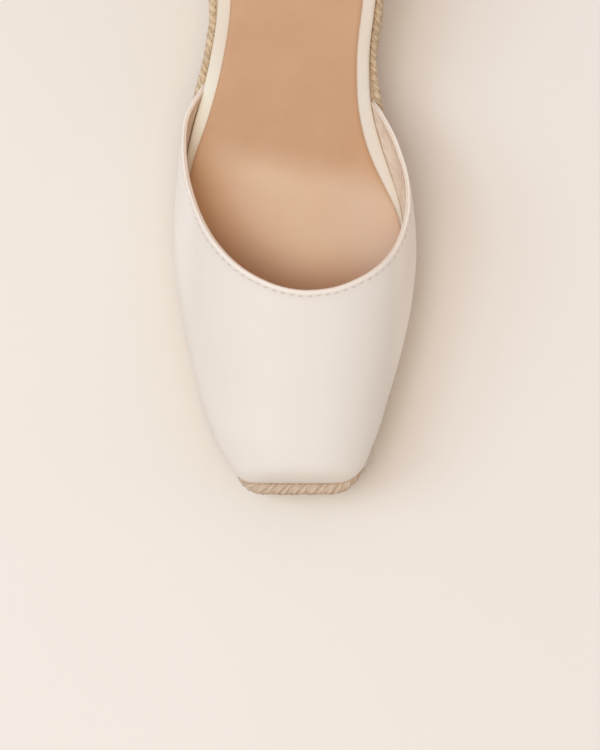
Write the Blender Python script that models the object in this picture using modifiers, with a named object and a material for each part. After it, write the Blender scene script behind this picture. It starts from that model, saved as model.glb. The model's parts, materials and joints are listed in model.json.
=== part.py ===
"""Square-toe espadrille mule on a jute wedge, right shoe, women's size 37 to 38.

Units are metres. +Z is up, the heel points along +Y, the toe along -Y, and
the inner (medial) side of the foot is +X. Z = 0 is the floor that the shoe
stands on. Lengths along the shoe are counted from the toe end of the footbed
and called `along`; heights and widths come from the tables of sections below.
"""

import bpy
import numpy as np

MM = 0.001

# ---------------------------------------------------------------- driving sizes
FOOTBED_LENGTH = 243 * MM
TOE_Y = -120.5 * MM          # where the toe end of the footbed lies in the frame
FIT_GAP = 0.3 * MM           # between two pieces that touch

BOARD_THICKNESS = 3.0 * MM
BOARD_ROUNDING = 0.9 * MM
INSOCK_THICKNESS = 0.8 * MM
OUTSOLE_THICKNESS = 3.0 * MM
UPPER_WALL = 1.6 * MM        # leather and lining together
UPPER_ROOM = 0.5 * MM        # between the upper's inside and the board's edge

JUTE_LEDGE_FRONT = 4.5 * MM  # how far the jute stands out in front of the footbed
WEDGE_SLANT = 0.012          # outward slant of the wedge's wall, per unit of height
OUTSOLE_INSET = 0.6 * MM     # rubber edge set back from the jute above it

# ---------------------------------------------------------------- the last
# Half widths of the footbed from the shoe's centre line, outer (lateral) and
# inner (medial) side, at sections along its length.
FOOTBED_ROWS = np.array([
    # along, lateral, medial
    (0.0, 17.2, 22.5),
    (9.0, 23.4, 25.0),
    (18.0, 27.4, 27.9),
    (27.0, 30.4, 30.3),
    (44.0, 34.5, 34.7),
    (62.0, 37.6, 38.1),
    (78.0, 39.1, 39.4),
    (90.0, 39.4, 38.7),
    (102.0, 38.8, 36.1),
    (114.0, 37.8, 32.0),
    (124.0, 35.6, 28.7),
    (134.0, 32.4, 26.6),
    (146.0, 29.3, 26.2),
    (165.0, 26.4, 28.3),
    (186.0, 26.6, 29.5),
    (208.0, 27.2, 29.7),
]) * MM
HEEL_START = FOOTBED_ROWS[-1, 0]
CORNER_REACH = {"lateral": 4.0 * MM, "medial": 8.5 * MM}

# Height of the footbed's top face, and of the sole's underside, off the floor.
HEIGHT_ROWS = np.array([
    # along, footbed, underside
    (-8.0, 29.8, 6.6),
    (0.0, 28.6, 5.4),
    (15.0, 26.6, 3.4),
    (30.0, 24.9, 1.7),
    (46.0, 23.6, 0.5),
    (60.0, 23.2, 0.0),
    (97.0, 23.3, 0.0),
    (104.0, 23.6, 0.3),
    (111.0, 25.2, 0.7),
    (119.0, 28.7, 1.3),
    (136.0, 36.7, 1.8),
    (152.0, 44.3, 1.4),
    (168.0, 51.9, 0.3),
    (182.0, 56.6, 0.0),
    (196.0, 58.8, 0.0),
    (215.0, 59.9, 0.0),
    (252.0, 60.6, 0.0),
]) * MM

# How far the insock stays back from the footbed's edge. That leaves a pale band
# round the heel and the waist, which runs out where the foot enters the vamp.
INSOCK_ROWS = np.array([
    # along, lateral, medial
    (0.0, 1.0, 1.0),
    (86.0, 0.8, 0.7),
    (94.0, 0.8, 1.1),
    (100.0, 0.9, 2.1),
    (105.0, 1.2, 3.1),
    (110.0, 1.7, 4.0),
    (116.0, 2.4, 4.5),
    (122.0, 3.2, 4.6),
    (128.0, 4.0, 4.6),
    (142.0, 4.3, 4.3),
    (243.0, 4.3, 4.3),
]) * MM

# How far the jute stands out beside the footbed. The footbed lies a little to
# the outer side on the wedge at the front, and to the inner side at the waist.
JUTE_ROWS = np.array([
    # along, lateral, medial
    (0.0, 1.2, 3.6),
    (4.0, 1.4, 3.3),
    (9.0, 1.8, 2.8),
    (14.0, 1.8, 2.3),
    (40.0, 1.8, 2.4),
    (62.0, 2.3, 3.4),
    (76.0, 2.6, 3.7),
    (100.0, 2.9, 3.3),
    (116.0, 3.0, 4.2),
    (128.0, 3.3, 4.7),
    (137.0, 3.4, 4.0),
    (146.0, 3.1, 2.9),
    (156.0, 3.0, 2.7),
    (166.0, 3.5, 2.9),
    (178.0, 4.2, 3.0),
    (200.0, 4.0, 3.0),
    (243.0, 3.2, 3.2),
]) * MM

# ---------------------------------------------------------------- the upper
# Height of the ridge of the upper above its own bottom edge, and where that
# ridge lies across the shoe, counted from the toe wall.
RIDGE_ROWS = np.array([
    # along, height, across
    (0.0, 0.0, 1.5),
    (1.0, 9.8, 1.5),
    (2.5, 14.4, 1.6),
    (5.0, 17.1, 1.8),
    (9.0, 19.2, 2.0),
    (14.0, 21.2, 2.3),
    (22.0, 24.1, 2.8),
    (36.0, 29.6, 3.4),
    (50.0, 34.9, 3.8),
    (64.0, 39.2, 4.2),
    (82.0, 44.2, 4.8),
    (104.0, 50.2, 5.2),
    (124.0, 55.4, 5.4),
    (142.0, 59.0, 5.4),
]) * MM
# Each side bulges out over the feather line, then leans out where the wings
# rise beside the waist. A higher roundness is a squarer shoulder.
SIDE_ROWS = {
    "lateral": np.array([
        # along, bulge, lean, roundness
        (0.0, 0.0, 0.0, 2.4),
        (12.0, 0.4, 0.0, 2.3),
        (36.0, 1.0, 0.0, 2.2),
        (64.0, 1.4, 0.0, 2.2),
        (86.0, 1.5, 0.1, 2.25),
        (104.0, 0.9, 0.5, 2.25),
        (118.0, 0.0, 1.0, 2.3),
        (130.0, 0.0, 1.8, 2.4),
        (142.0, 0.0, 0.0, 2.4),
    ]),
    "medial": np.array([
        (0.0, 0.0, 0.0, 2.6),
        (12.0, 0.4, 0.0, 2.75),
        (36.0, 1.0, 0.0, 2.85),
        (64.0, 1.6, 0.0, 2.9),
        (84.0, 1.7, 0.2, 3.2),
        (98.0, 0.5, 1.9, 3.4),
        (110.0, 0.0, 3.4, 3.4),
        (120.0, 0.0, 3.3, 3.4),
        (129.0, 0.0, 2.0, 3.4),
        (142.0, 0.0, 0.0, 3.4),
    ]),
}
BULGE_HEIGHT = 10 * MM       # where a side stands out furthest
LEAN_HEIGHT = 14 * MM        # above this a leaning side goes straight up

# The topline, as the place along the shoe where each strip of the upper ends.
# The angle goes round a section from the outer feather line over the ridge
# (90 degrees) to the inner feather line.
TOPLINE_ROWS = np.array([
    # degrees, along
    (0.0, 138.0),
    (2.0, 134.8),
    (5.0, 129.6),
    (10.0, 122.4),
    (16.0, 116.2),
    (24.0, 107.7),
    (32.0, 97.6),
    (40.0, 87.4),
    (50.0, 77.8),
    (60.0, 70.8),
    (70.0, 66.2),
    (80.0, 63.0),
    (90.0, 61.5),
    (100.0, 62.5),
    (110.0, 64.8),
    (120.0, 68.2),
    (130.0, 72.7),
    (140.0, 78.4),
    (150.0, 86.2),
    (158.0, 95.0),
    (165.0, 104.8),
    (170.0, 112.2),
    (175.0, 121.2),
    (178.0, 128.0),
    (180.0, 133.2),
])
UPPER_COLUMNS = 48
UPPER_ROWS_ALONG = 30
COLUMN_CROWDING = 0.7        # how much closer the columns stand near the feather line
ROW_CROWDING = 1.9           # how much closer the rows stand near the toe wall

# ---------------------------------------------------------------- tread
GROOVE_DEPTH = 1.0 * MM
GROOVE_WIDTH = 2.4 * MM
GROOVE_WALL = 0.5 * MM
GROOVES = [value * MM for value in
           (44, 52, 60, 68, 86, 94, 184, 192, 200, 218, 226, 234)]

# ---------------------------------------------------------------- finishes
FINISHES = {
    # colour, roughness
    "upper": ((0.84, 0.79, 0.72), 0.45),
    "insole_board": ((0.82, 0.76, 0.68), 0.5),
    "insock": ((0.62, 0.37, 0.23), 0.55),
    "jute_wedge": ((0.55, 0.41, 0.26), 0.9),
    "outsole": ((0.42, 0.30, 0.19), 0.8),
}


def smooth(rows, column, at):
    """Read a column of a table of sections with smooth, never overshooting curves."""
    x = rows[:, 0]
    y = rows[:, column]
    step = np.diff(x)
    slope = np.diff(y) / step
    tangent = np.zeros(len(x))
    tangent[0], tangent[-1] = slope[0], slope[-1]
    for i in range(1, len(x) - 1):
        if slope[i - 1] * slope[i] > 0:
            before = 2 * step[i] + step[i - 1]
            after = step[i] + 2 * step[i - 1]
            tangent[i] = (before + after) / (before / slope[i - 1] + after / slope[i])
    at = np.clip(at, x[0], x[-1])
    i = np.clip(np.searchsorted(x, at) - 1, 0, len(step) - 1)
    t = (at - x[i]) / step[i]
    rise = y[i + 1] - y[i]
    start = tangent[i] * step[i]
    end = tangent[i + 1] * step[i]
    return y[i] + t * (start + t * (3 * rise - 2 * start - end + t * (start + end - 2 * rise)))


def footbed_height(along):
    return smooth(HEIGHT_ROWS, 1, along)


def underside_height(along):
    return smooth(HEIGHT_ROWS, 2, along)


def wedge_top_height(along):
    return footbed_height(along) - BOARD_THICKNESS - FIT_GAP


# ---------------------------------------------------------------- outline
def side_curve(side, stations):
    """One side of the footbed's outline from the toe to the heel: points (x, along)."""
    column, sign = (1, -1) if side == "lateral" else (2, 1)
    reach = CORNER_REACH[side]
    corner = np.array([smooth(FOOTBED_ROWS, column, 0.0), 0.0])
    on_front = corner - (reach, 0)
    on_side = np.array([smooth(FOOTBED_ROWS, column, reach), reach])
    curve = []
    for t in np.linspace(0, 1, stations["corner"], endpoint=False):
        curve.append((1 - t) ** 2 * on_front + 2 * t * (1 - t) * corner + t * t * on_side)
    for t in np.linspace(0, 1, stations["side"], endpoint=False):
        along = reach + t * (HEEL_START - reach)
        curve.append((smooth(FOOTBED_ROWS, column, along), along))
    middle = (FOOTBED_ROWS[-1, 2] - FOOTBED_ROWS[-1, 1]) / 2 * sign
    half = FOOTBED_ROWS[-1, column] - middle
    for turn in np.linspace(0, np.pi / 2 - 0.06, stations["heel"]):
        along = HEEL_START + (FOOTBED_LENGTH - HEEL_START) * np.sin(turn)
        curve.append((middle + half * np.cos(turn), along))
    curve = np.array(curve)
    curve[:, 0] *= sign
    return curve


def outward(curve, side):
    """Unit directions pointing out of the shoe, in plan, along a side curve."""
    direction = np.gradient(curve, axis=0)
    direction[0] = (-1 if side == "lateral" else 1, 0)
    direction /= np.linalg.norm(direction, axis=1)[:, None]
    turn = 1 if side == "medial" else -1
    return np.column_stack([direction[:, 1], -direction[:, 0]]) * turn


def jute_ledge(side, along, facing):
    """How far the jute stands out beside the footbed, and more where it faces forward."""
    beside = smooth(JUTE_ROWS, 1 if side == "lateral" else 2, along)
    return beside + (JUTE_LEDGE_FRONT - beside) * facing ** 4


class Outline:
    """Both sides of the footbed's outline, pushed in or out by a distance."""

    def __init__(self, corner=8, side=32, heel=11):
        stations = {"corner": corner, "side": side, "heel": heel}
        self.curves = {s: side_curve(s, stations) for s in ("lateral", "medial")}
        self.normals = {s: outward(c, s) for s, c in self.curves.items()}

    def offset(self, side, distance):
        """`distance` is a number, or a function of the side, place and share facing forward."""
        curve, normal = self.curves[side], self.normals[side]
        if callable(distance):
            distance = distance(side, curve[:, 1], np.clip(-normal[:, 1], 0, 1))
        return curve + normal * np.broadcast_to(distance, len(curve))[:, None]


class Sections(Outline):
    """The same outline, read at chosen places along the shoe, for cuts straight across."""

    def __init__(self, stations):
        super().__init__(corner=30, side=120, heel=40)
        self.stations = stations

    def offset(self, side, distance):
        curve = super().offset(side, distance)
        along = np.clip(self.stations, curve[0, 1], curve[-1, 1])
        return np.column_stack([np.interp(along, curve[:, 1], curve[:, 0]), along])


def world(x, along, height):
    return (x, TOE_Y + along, height)


# ---------------------------------------------------------------- making meshes
def material(name):
    colour, roughness = FINISHES[name]
    made = bpy.data.materials.new(name)
    made.use_nodes = True
    shader = made.node_tree.nodes["Principled BSDF"]
    shader.inputs["Base Color"].default_value = (*colour, 1)
    shader.inputs["Roughness"].default_value = roughness
    return made


def add_object(name, points, faces, collection):
    mesh = bpy.data.meshes.new(name)
    mesh.from_pydata(points, [], faces)
    mesh.validate()
    mesh.shade_smooth()
    mesh.set_sharp_from_angle(angle=np.radians(40))
    mesh.materials.append(material(name))
    made = bpy.data.objects.new(name, mesh)
    collection.objects.link(made)
    return made


def loft(rings):
    """Points and faces of a closed solid through rings of equal length."""
    count = len(rings[0])
    points = [point for ring in rings for point in ring]
    faces = [tuple(reversed(range(count)))]
    for r in range(len(rings) - 1):
        for i in range(count):
            j = (i + 1) % count
            a, b = r * count, (r + 1) * count
            faces.append((a + i, a + j, b + j, b + i))
    last = (len(rings) - 1) * count
    faces.append(tuple(range(last, last + count)))
    return points, faces


def slab(name, collection, outline, levels, across=5):
    """A layer of the sole. `levels` go up its edge: (offset, height function) pairs."""
    edges = {side: [outline.offset(side, offset) for offset, _ in levels]
             for side in ("lateral", "medial")}
    rings = []
    for i in range(len(edges["lateral"][0])):
        ring = []
        for level, (_, height) in enumerate(levels):
            x, along = edges["lateral"][level][i]
            ring.append(world(x, along, height(along)))
        ring += row_across(edges, -1, i, levels[-1][1], across)
        for level, (_, height) in reversed(list(enumerate(levels))):
            x, along = edges["medial"][level][i]
            ring.append(world(x, along, height(along)))
        ring += reversed(row_across(edges, 0, i, levels[0][1], across))
        rings.append(ring)
    points, faces = loft(rings)
    return add_object(name, points, faces, collection)


def row_across(edges, level, i, height, across):
    """Points strictly between the two sides at one station, outer side first."""
    start, end = edges["lateral"][level][i], edges["medial"][level][i]
    row = []
    for t in np.linspace(0, 1, across + 2)[1:-1]:
        x, along = start + t * (end - start)
        row.append(world(x, along, height(along)))
    return row


# ---------------------------------------------------------------- the pieces
def tread_height(along):
    """The underside, with shallow grooves across the forefoot and the heel."""
    depth = 0.0
    for middle in GROOVES:
        reach = GROOVE_WIDTH / 2 + GROOVE_WALL - abs(along - middle)
        depth = max(depth, GROOVE_DEPTH * min(max(reach / GROOVE_WALL, 0), 1))
    return underside_height(along) + depth


def tread_stations():
    """Places along the outsole: close together at both ends and at each groove's edges."""
    toe = (-7, -3.2, -2.2, -0.5, 2, 5)
    heel = (237, 240, 243, 244.8, 247)
    edges = [(middle + sign * reach) / MM for middle in GROOVES for sign in (-1, 1)
             for reach in (GROOVE_WIDTH / 2, GROOVE_WIDTH / 2 + GROOVE_WALL)]
    plain = [value for value in range(10, 237, 9)
             if min(abs(value - edge) for edge in edges) > 1.5]
    return np.array(sorted([*toe, *plain, *edges, *heel])) * MM


def wedge_bottom_height(along):
    return underside_height(along) + OUTSOLE_THICKNESS + FIT_GAP


def wedge_level(share):
    """The wall of the wedge at a share of its height: how far out, and how high."""
    def out(side, along, facing):
        drop = (1 - share) * (wedge_top_height(along) - wedge_bottom_height(along))
        return jute_ledge(side, along, facing) + WEDGE_SLANT * drop

    def height(along):
        low = wedge_bottom_height(along)
        return low + share * (wedge_top_height(along) - low)

    return out, height


def make_outsole(collection):
    jute_edge = wedge_level(0)[0]

    def edge(side, along, facing):
        return jute_edge(side, along, facing) - OUTSOLE_INSET

    def top(along):
        return underside_height(along) + OUTSOLE_THICKNESS

    return slab("outsole", collection, Sections(tread_stations()),
                [(edge, tread_height), (edge, top)], across=3)


def make_wedge(collection):
    levels = [wedge_level(share) for share in (0, 1 / 3, 2 / 3, 1)]
    return slab("jute_wedge", collection, Outline(), levels)


def over_footbed(distance):
    """The height of a face that lies a fixed distance over the footbed."""
    return lambda along: footbed_height(along) + distance


def make_board(collection):
    return slab("insole_board", collection, Outline(),
                [(-BOARD_ROUNDING / 2, over_footbed(-BOARD_THICKNESS)),
                 (0.0, over_footbed(-BOARD_ROUNDING)),
                 (-BOARD_ROUNDING, footbed_height)])


def insock_edge(side, along, facing):
    return -smooth(INSOCK_ROWS, 1 if side == "lateral" else 2, along)


def make_insock(collection):
    return slab("insock", collection, Outline(),
                [(insock_edge, over_footbed(FIT_GAP)),
                 (insock_edge, over_footbed(FIT_GAP + INSOCK_THICKNESS))])


def upper_edge(side):
    """The upper's outer bottom edge, as a side curve that starts on the toe wall."""
    return Outline(corner=40, side=120, heel=30).offset(side, UPPER_ROOM + UPPER_WALL)


def upper_point(degrees, along, edges, front):
    """A point of the upper's outer surface, by the angle round its section."""
    side, sign = ("lateral", -1) if degrees < 90 else ("medial", 1)
    behind = along - front
    walk = np.sqrt(behind)
    ridge_rows = RIDGE_ROWS.copy()
    ridge_rows[:, 0] = np.sqrt(ridge_rows[:, 0])
    rise = smooth(ridge_rows, 1, walk)
    ridge = smooth(ridge_rows, 2, walk)
    bulge, lean, roundness = (smooth(SIDE_ROWS[side], k, behind / MM) for k in (1, 2, 3))
    edge = np.interp(along, edges[side][:, 1], edges[side][:, 0])
    turn = np.radians(degrees)
    height = rise * abs(np.sin(turn)) ** (2 / roundness)
    reach = abs(np.cos(turn)) ** (2 / roundness)
    if behind == 0:
        reach = abs(1 - degrees / 90)        # evenly along the foot of the toe wall
    swell = bulge * np.sin(np.pi / 2 * min(height / BULGE_HEIGHT, 2)) ** 2
    spread = lean * np.sin(np.pi / 2 * min(height / LEAN_HEIGHT, 1))
    x = ridge + (edge - ridge) * reach
    x += sign * (swell + spread) * MM
    return world(x, along, wedge_top_height(along) + FIT_GAP + height)


def make_upper(collection):
    edges = {side: upper_edge(side) for side in ("lateral", "medial")}
    front = edges["medial"][0, 1]
    points, faces = [], []
    across = np.linspace(0, 1, UPPER_COLUMNS + 1)
    columns = 180 * (across - COLUMN_CROWDING * np.sin(2 * np.pi * across) / (2 * np.pi))
    for row in range(UPPER_ROWS_ALONG + 1):
        share = row / UPPER_ROWS_ALONG
        for degrees in columns:
            end = smooth(TOPLINE_ROWS, 1, degrees) * MM
            along = front + (end - front) * share ** ROW_CROWDING
            points.append(upper_point(degrees, along, edges, front))
    width = UPPER_COLUMNS + 1
    for row in range(UPPER_ROWS_ALONG):
        for i in range(UPPER_COLUMNS):
            a = row * width + i
            faces.append((a, a + 1, a + width + 1, a + width))
    upper = add_object("upper", points, faces, collection)
    wall = upper.modifiers.new("wall", "SOLIDIFY")
    wall.thickness = UPPER_WALL
    wall.offset = -1
    wall.use_even_offset = True
    return upper


def main():
    for old in list(bpy.data.objects):
        bpy.data.objects.remove(old)
    shoe = bpy.data.collections.new("espadrille_mule")
    bpy.context.scene.collection.children.link(shoe)
    make_outsole(shoe)
    make_wedge(shoe)
    make_board(shoe)
    make_insock(shoe)
    make_upper(shoe)


main()
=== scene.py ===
# %% [markdown]
# # An espadrille mule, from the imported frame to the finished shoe
#
# The shoe is a closed vamp of off-white leather on a leather-covered footbed,
# which sits on a wedge wound with plaited jute and a thin rubber outsole. The
# frame holds one plain solid for each of those pieces. This lesson dresses
# them: it copies a solid, works on the copy, and lets the copy stand for the
# solid. The frame itself is never moved.
#
# +Z is up, the heel points along +Y, and the inner side of the foot is +X.

import json
import math
import random

import bpy
import numpy as np
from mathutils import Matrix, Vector
from mathutils.kdtree import KDTree

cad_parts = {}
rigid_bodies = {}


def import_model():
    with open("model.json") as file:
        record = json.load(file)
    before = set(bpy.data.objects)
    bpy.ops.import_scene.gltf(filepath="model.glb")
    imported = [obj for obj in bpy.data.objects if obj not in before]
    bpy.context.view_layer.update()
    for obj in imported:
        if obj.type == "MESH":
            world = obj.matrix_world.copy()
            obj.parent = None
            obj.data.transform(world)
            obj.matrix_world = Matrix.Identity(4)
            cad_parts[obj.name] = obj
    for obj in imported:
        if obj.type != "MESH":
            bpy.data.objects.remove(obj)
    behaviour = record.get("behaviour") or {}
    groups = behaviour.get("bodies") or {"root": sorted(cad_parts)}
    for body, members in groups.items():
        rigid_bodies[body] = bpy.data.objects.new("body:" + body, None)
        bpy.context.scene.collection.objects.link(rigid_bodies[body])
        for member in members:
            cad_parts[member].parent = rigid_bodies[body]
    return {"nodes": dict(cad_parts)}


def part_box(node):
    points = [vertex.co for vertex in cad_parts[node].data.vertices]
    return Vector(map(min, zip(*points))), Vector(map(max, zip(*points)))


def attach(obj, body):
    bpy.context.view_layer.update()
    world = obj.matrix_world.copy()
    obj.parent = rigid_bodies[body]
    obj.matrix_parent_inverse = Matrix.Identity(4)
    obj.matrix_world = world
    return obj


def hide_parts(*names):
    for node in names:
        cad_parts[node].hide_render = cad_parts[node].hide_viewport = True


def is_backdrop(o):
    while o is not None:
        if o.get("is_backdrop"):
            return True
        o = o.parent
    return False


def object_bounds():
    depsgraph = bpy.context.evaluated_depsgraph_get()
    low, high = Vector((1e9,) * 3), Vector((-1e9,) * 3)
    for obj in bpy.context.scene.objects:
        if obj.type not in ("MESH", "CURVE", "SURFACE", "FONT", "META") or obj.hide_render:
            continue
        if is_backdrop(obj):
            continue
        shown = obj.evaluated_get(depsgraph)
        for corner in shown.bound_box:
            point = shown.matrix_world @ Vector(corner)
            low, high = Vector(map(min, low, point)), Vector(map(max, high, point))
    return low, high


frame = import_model()
CAD_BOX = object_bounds()
MM = 0.001
bpy.ops.object.select_all(action="DESELECT")
print("nodes:", sorted(frame["nodes"]))


# %% Putting something into the scene
def new_object(name, data):
    """An object that holds this mesh, curve, lamp or camera, put into the scene."""
    made = bpy.data.objects.new(name, data)
    bpy.context.scene.collection.objects.link(made)
    return made


# %% [markdown]
# ## Camera, floor and light
#
# The shoe is seen from almost straight above, a little from the toe side, so
# the camera hangs 1.2 m over the vamp with a long lens, and the heel runs out
# of view at the top. The floor is plain and pale. The room is bright all
# round, which leaves no hard shadow anywhere. Softboxes give the forms their
# shading: a cool one almost overhead on the left, another lower down on that
# side, a warm one almost overhead on the toe side, and weak ones over the toe
# and low on the right. Together they leave one wide pale shadow on the right.

# %% The camera
CAMERA_DISTANCE = 1.2
CAMERA_ELEVATION = math.radians(84)
CAMERA_LENS = 160
LOOKED_AT = Vector((2.1, -81.6, 0)) * MM

lens = bpy.data.cameras.new("camera")
lens.lens = CAMERA_LENS
lens.clip_start = 0.01
camera = new_object("camera", lens)
back = Vector((0, -math.cos(CAMERA_ELEVATION), math.sin(CAMERA_ELEVATION)))
camera.location = LOOKED_AT + back * CAMERA_DISTANCE
camera.rotation_euler = (math.pi / 2 - CAMERA_ELEVATION, 0, 0)
bpy.context.scene.camera = camera
print("camera at", [round(value, 4) for value in camera.location])

# %% The floor and the lamps
FLOOR_SIZE = 6.0
SOFTBOX_SIZE = 0.9
SOFTBOX_DISTANCE = 1.9


def softbox(name, turn, rise, power, colour):
    """A square soft lamp at so many degrees round the vamp and above the floor."""
    light = bpy.data.lights.new(name, "AREA")
    light.size = SOFTBOX_SIZE
    light.energy = power
    light.color = colour
    lamp = new_object(name, light)
    turn, rise = math.radians(turn), math.radians(rise)
    sideways = Vector((math.cos(turn), math.sin(turn), 0)) * math.cos(rise)
    lamp.location = LOOKED_AT + (sideways + Vector((0, 0, math.sin(rise)))) * SOFTBOX_DISTANCE
    lamp.rotation_euler = (LOOKED_AT - lamp.location).to_track_quat("-Z", "Y").to_euler()
    print("softbox", name, "at", [round(value, 2) for value in lamp.location])


bpy.ops.mesh.primitive_plane_add(size=FLOOR_SIZE)
floor = bpy.context.active_object
floor.name = "floor"
floor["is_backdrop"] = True

softbox("left", 180, 50, 7.3, (0.62, 0.89, 1.0))
softbox("overhead_left", 197, 72, 9.1, (0.7, 0.76, 1.0))
softbox("overhead", 250, 75, 8.0, (1.0, 0.95, 0.68))
softbox("toe", 270, 72, 1.2, (0.8, 1.0, 0.67))
softbox("right", 0, 25, 1.9, (0.5, 0.75, 1.0))

# %% The bright room
ROOM_COLOUR = (1.0, 0.85, 0.854, 1)
ROOM_STRENGTH = 0.515

world = bpy.data.worlds.new("room")
world.use_nodes = True
room_light = world.node_tree.nodes["Background"]
room_light.inputs["Color"].default_value = ROOM_COLOUR
room_light.inputs["Strength"].default_value = ROOM_STRENGTH
bpy.context.scene.world = world
bpy.context.scene.view_settings.view_transform = "Standard"

# %% [markdown]
# ## Writing materials as expressions
#
# A finish is a small calculation over the surface. `Value` wraps an output
# socket, so `1 - mask * 0.3` adds the Math nodes by itself, and `Finish.node`
# adds any other node: its type, its settings, then the values or links of its
# sockets. Colours go through Mix nodes, because a Math node would turn them
# grey.


# %% A socket that can be calculated with
class Value:
    """An output socket of a finish's node tree."""

    def __init__(self, finish, socket):
        self.finish = finish
        self.socket = socket

    def math(self, operation, *numbers):
        """Add a Math node that works on these numbers or sockets."""
        return self.finish.node("Math", {"operation": operation}, dict(enumerate(numbers)))

    def __add__(self, other):
        return self.math("ADD", self, other)

    def __sub__(self, other):
        return self.math("SUBTRACT", self, other)

    def __rsub__(self, other):
        return self.math("SUBTRACT", other, self)

    def __mul__(self, other):
        return self.math("MULTIPLY", self, other)

    __radd__ = __add__
    __rmul__ = __mul__


# %% A finish
def srgb(red, green, blue):
    """A colour given as on a screen, 0 to 255, as the linear colour that Blender mixes."""
    shares = [value / 255 for value in (red, green, blue)]
    return tuple(s / 12.92 if s <= 0.04045 else ((s + 0.055) / 1.055) ** 2.4 for s in shares)


class Finish:
    """A material that is being put together."""

    def __init__(self, name):
        self.material = bpy.data.materials.new(name)
        self.material.use_nodes = True
        self.tree = self.material.node_tree
        self.shader = self.tree.nodes["Principled BSDF"]

    def node(self, kind, settings=None, inputs=None, output=0):
        """Add a node: its type, its settings, then its sockets' values or links."""
        made = self.tree.nodes.new("ShaderNode" + kind)
        for key, value in (settings or {}).items():
            setattr(made, key, value)
        self.fill(made, inputs or {})
        return Value(self, made.outputs[output])

    def fill(self, node, inputs):
        """Give a node's sockets their values, or link them."""
        for key, value in inputs.items():
            if isinstance(value, Value):
                self.tree.links.new(value.socket, node.inputs[key])
            else:
                node.inputs[key].default_value = value

    def place(self):
        """Where a point of the surface lies in the shoe, in metres."""
        return self.node("TexCoord", output="Object")

    def part(self, vector, axis):
        """One coordinate, "X", "Y" or "Z", of a place."""
        return self.node("SeparateXYZ", {}, {0: vector}, output=axis)

    def stretched(self, vector, x, y, z):
        """A place whose coordinates are multiplied, to draw a pattern out one way."""
        return self.node("VectorMath", {"operation": "MULTIPLY"}, {0: vector, 1: (x, y, z)})

    def attribute(self, name):
        """The number that the mesh keeps for each point under this name."""
        return self.node("Attribute", {"attribute_name": name}, output="Fac")

    def noise(self, place, size, detail=2.0):
        """Cloudy noise from 0 to 1 whose blotches are about `size` metres across."""
        return self.node("TexNoise", {}, {"Vector": place, "Scale": 1 / size, "Detail": detail})

    def cells(self, place, size):
        """Distance to the middle of the nearest of many small cells."""
        return self.node("TexVoronoi", {}, {"Vector": place, "Scale": 1 / size})

    def between(self, value, low, high):
        """`value` from low to high as 0 to 1, with soft ends."""
        settings = {"interpolation_type": "SMOOTHSTEP"}
        return self.node("MapRange", settings, {"Value": value, "From Min": low, "From Max": high})

    def mix(self, share, first, second):
        """From the first colour to the second, by share."""
        first, second = [c if isinstance(c, Value) else (*c, 1) for c in (first, second)]
        return self.node("Mix", {"data_type": "RGBA"}, {0: share, 6: first, 7: second}, output=2)

    def bump(self, height, distance, under=None):
        """Relief of `distance` metres where height is 1, on top of another relief."""
        inputs = {"Height": height, "Distance": distance, "Strength": 1.0}
        if under is not None:
            inputs["Normal"] = under
        return self.node("Bump", {}, inputs)

    def tinted(self, colour, tints):
        """A colour with tints laid over it in turn, each as strong as its mask."""
        for mask, tint in tints:
            colour = self.mix(mask, colour, tint)
        return colour

    def done(self, **sockets):
        """Set the shader's sockets, named with _ for a space, and return the material."""
        self.fill(self.shader, {key.replace("_", " "): value for key, value in sockets.items()})
        return self.material


# %% The floor's finish
def floor_finish():
    """Matt painted board with the faintest cloudiness."""
    finish = Finish("pale_board")
    cloud = finish.noise(finish.place(), 0.25)
    colour = finish.mix(cloud, srgb(243, 236, 226), srgb(239, 231, 220))
    return finish.done(Base_Color=colour, Roughness=0.9)


floor.data.materials.append(floor_finish())

# %% [markdown]
# ## Tools for working on a copy of a solid
#
# A solid of the frame arrives as loose triangles. Its copy is merged and its
# triangles are paired into squares again, because subdivision rounds squares
# evenly and leaves triangles lumpy. `region` picks one face of the solid, such
# as the outside of the upper, by growing from one small face up to the sharp
# edges round it.


# %% Working on one piece at a time
def activate(piece):
    """Make one piece the selected and active one, as a click does."""
    bpy.ops.object.select_all(action="DESELECT")
    piece.select_set(True)
    bpy.context.view_layer.objects.active = piece


def edit(piece, select="FACE"):
    """Go into edit mode on one piece with nothing selected."""
    activate(piece)
    bpy.ops.object.mode_set(mode="EDIT")
    bpy.ops.mesh.select_mode(type=select)
    bpy.ops.mesh.select_all(action="DESELECT")


def leave():
    """Go back to object mode."""
    bpy.ops.object.mode_set(mode="OBJECT")


# %% Copying, merging and picking
SAME_POINT = 0.01 * MM
SQUARE_ANGLE = math.radians(60)
FACING_SHARE = 0.5


def merged_copy(node, name):
    """A copy of a solid of the frame, merged and made of squares again."""
    piece = new_object(name, frame["nodes"][node].data.copy())
    piece.data.materials.clear()
    activate(piece)
    bpy.ops.mesh.customdata_custom_splitnormals_clear()
    edit(piece)
    bpy.ops.mesh.select_all(action="SELECT")
    bpy.ops.mesh.remove_doubles(threshold=SAME_POINT)
    bpy.ops.mesh.tris_convert_to_quads(face_threshold=SQUARE_ANGLE,
                                       shape_threshold=SQUARE_ANGLE)
    leave()
    return piece


def mark_sharp(piece, degrees):
    """Mark the edges whose faces turn by more than so many degrees."""
    edit(piece, "EDGE")
    bpy.ops.mesh.edges_select_sharp(sharpness=math.radians(degrees))
    bpy.ops.mesh.mark_sharp()
    leave()


def nearest_face(piece, point, facing):
    """The face closest to a point among those that look the given way."""
    way = Vector(facing)
    faces = [face for face in piece.data.polygons if face.normal.dot(way) > FACING_SHARE]
    return min(faces, key=lambda face: (face.center - Vector(point)).length)


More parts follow.
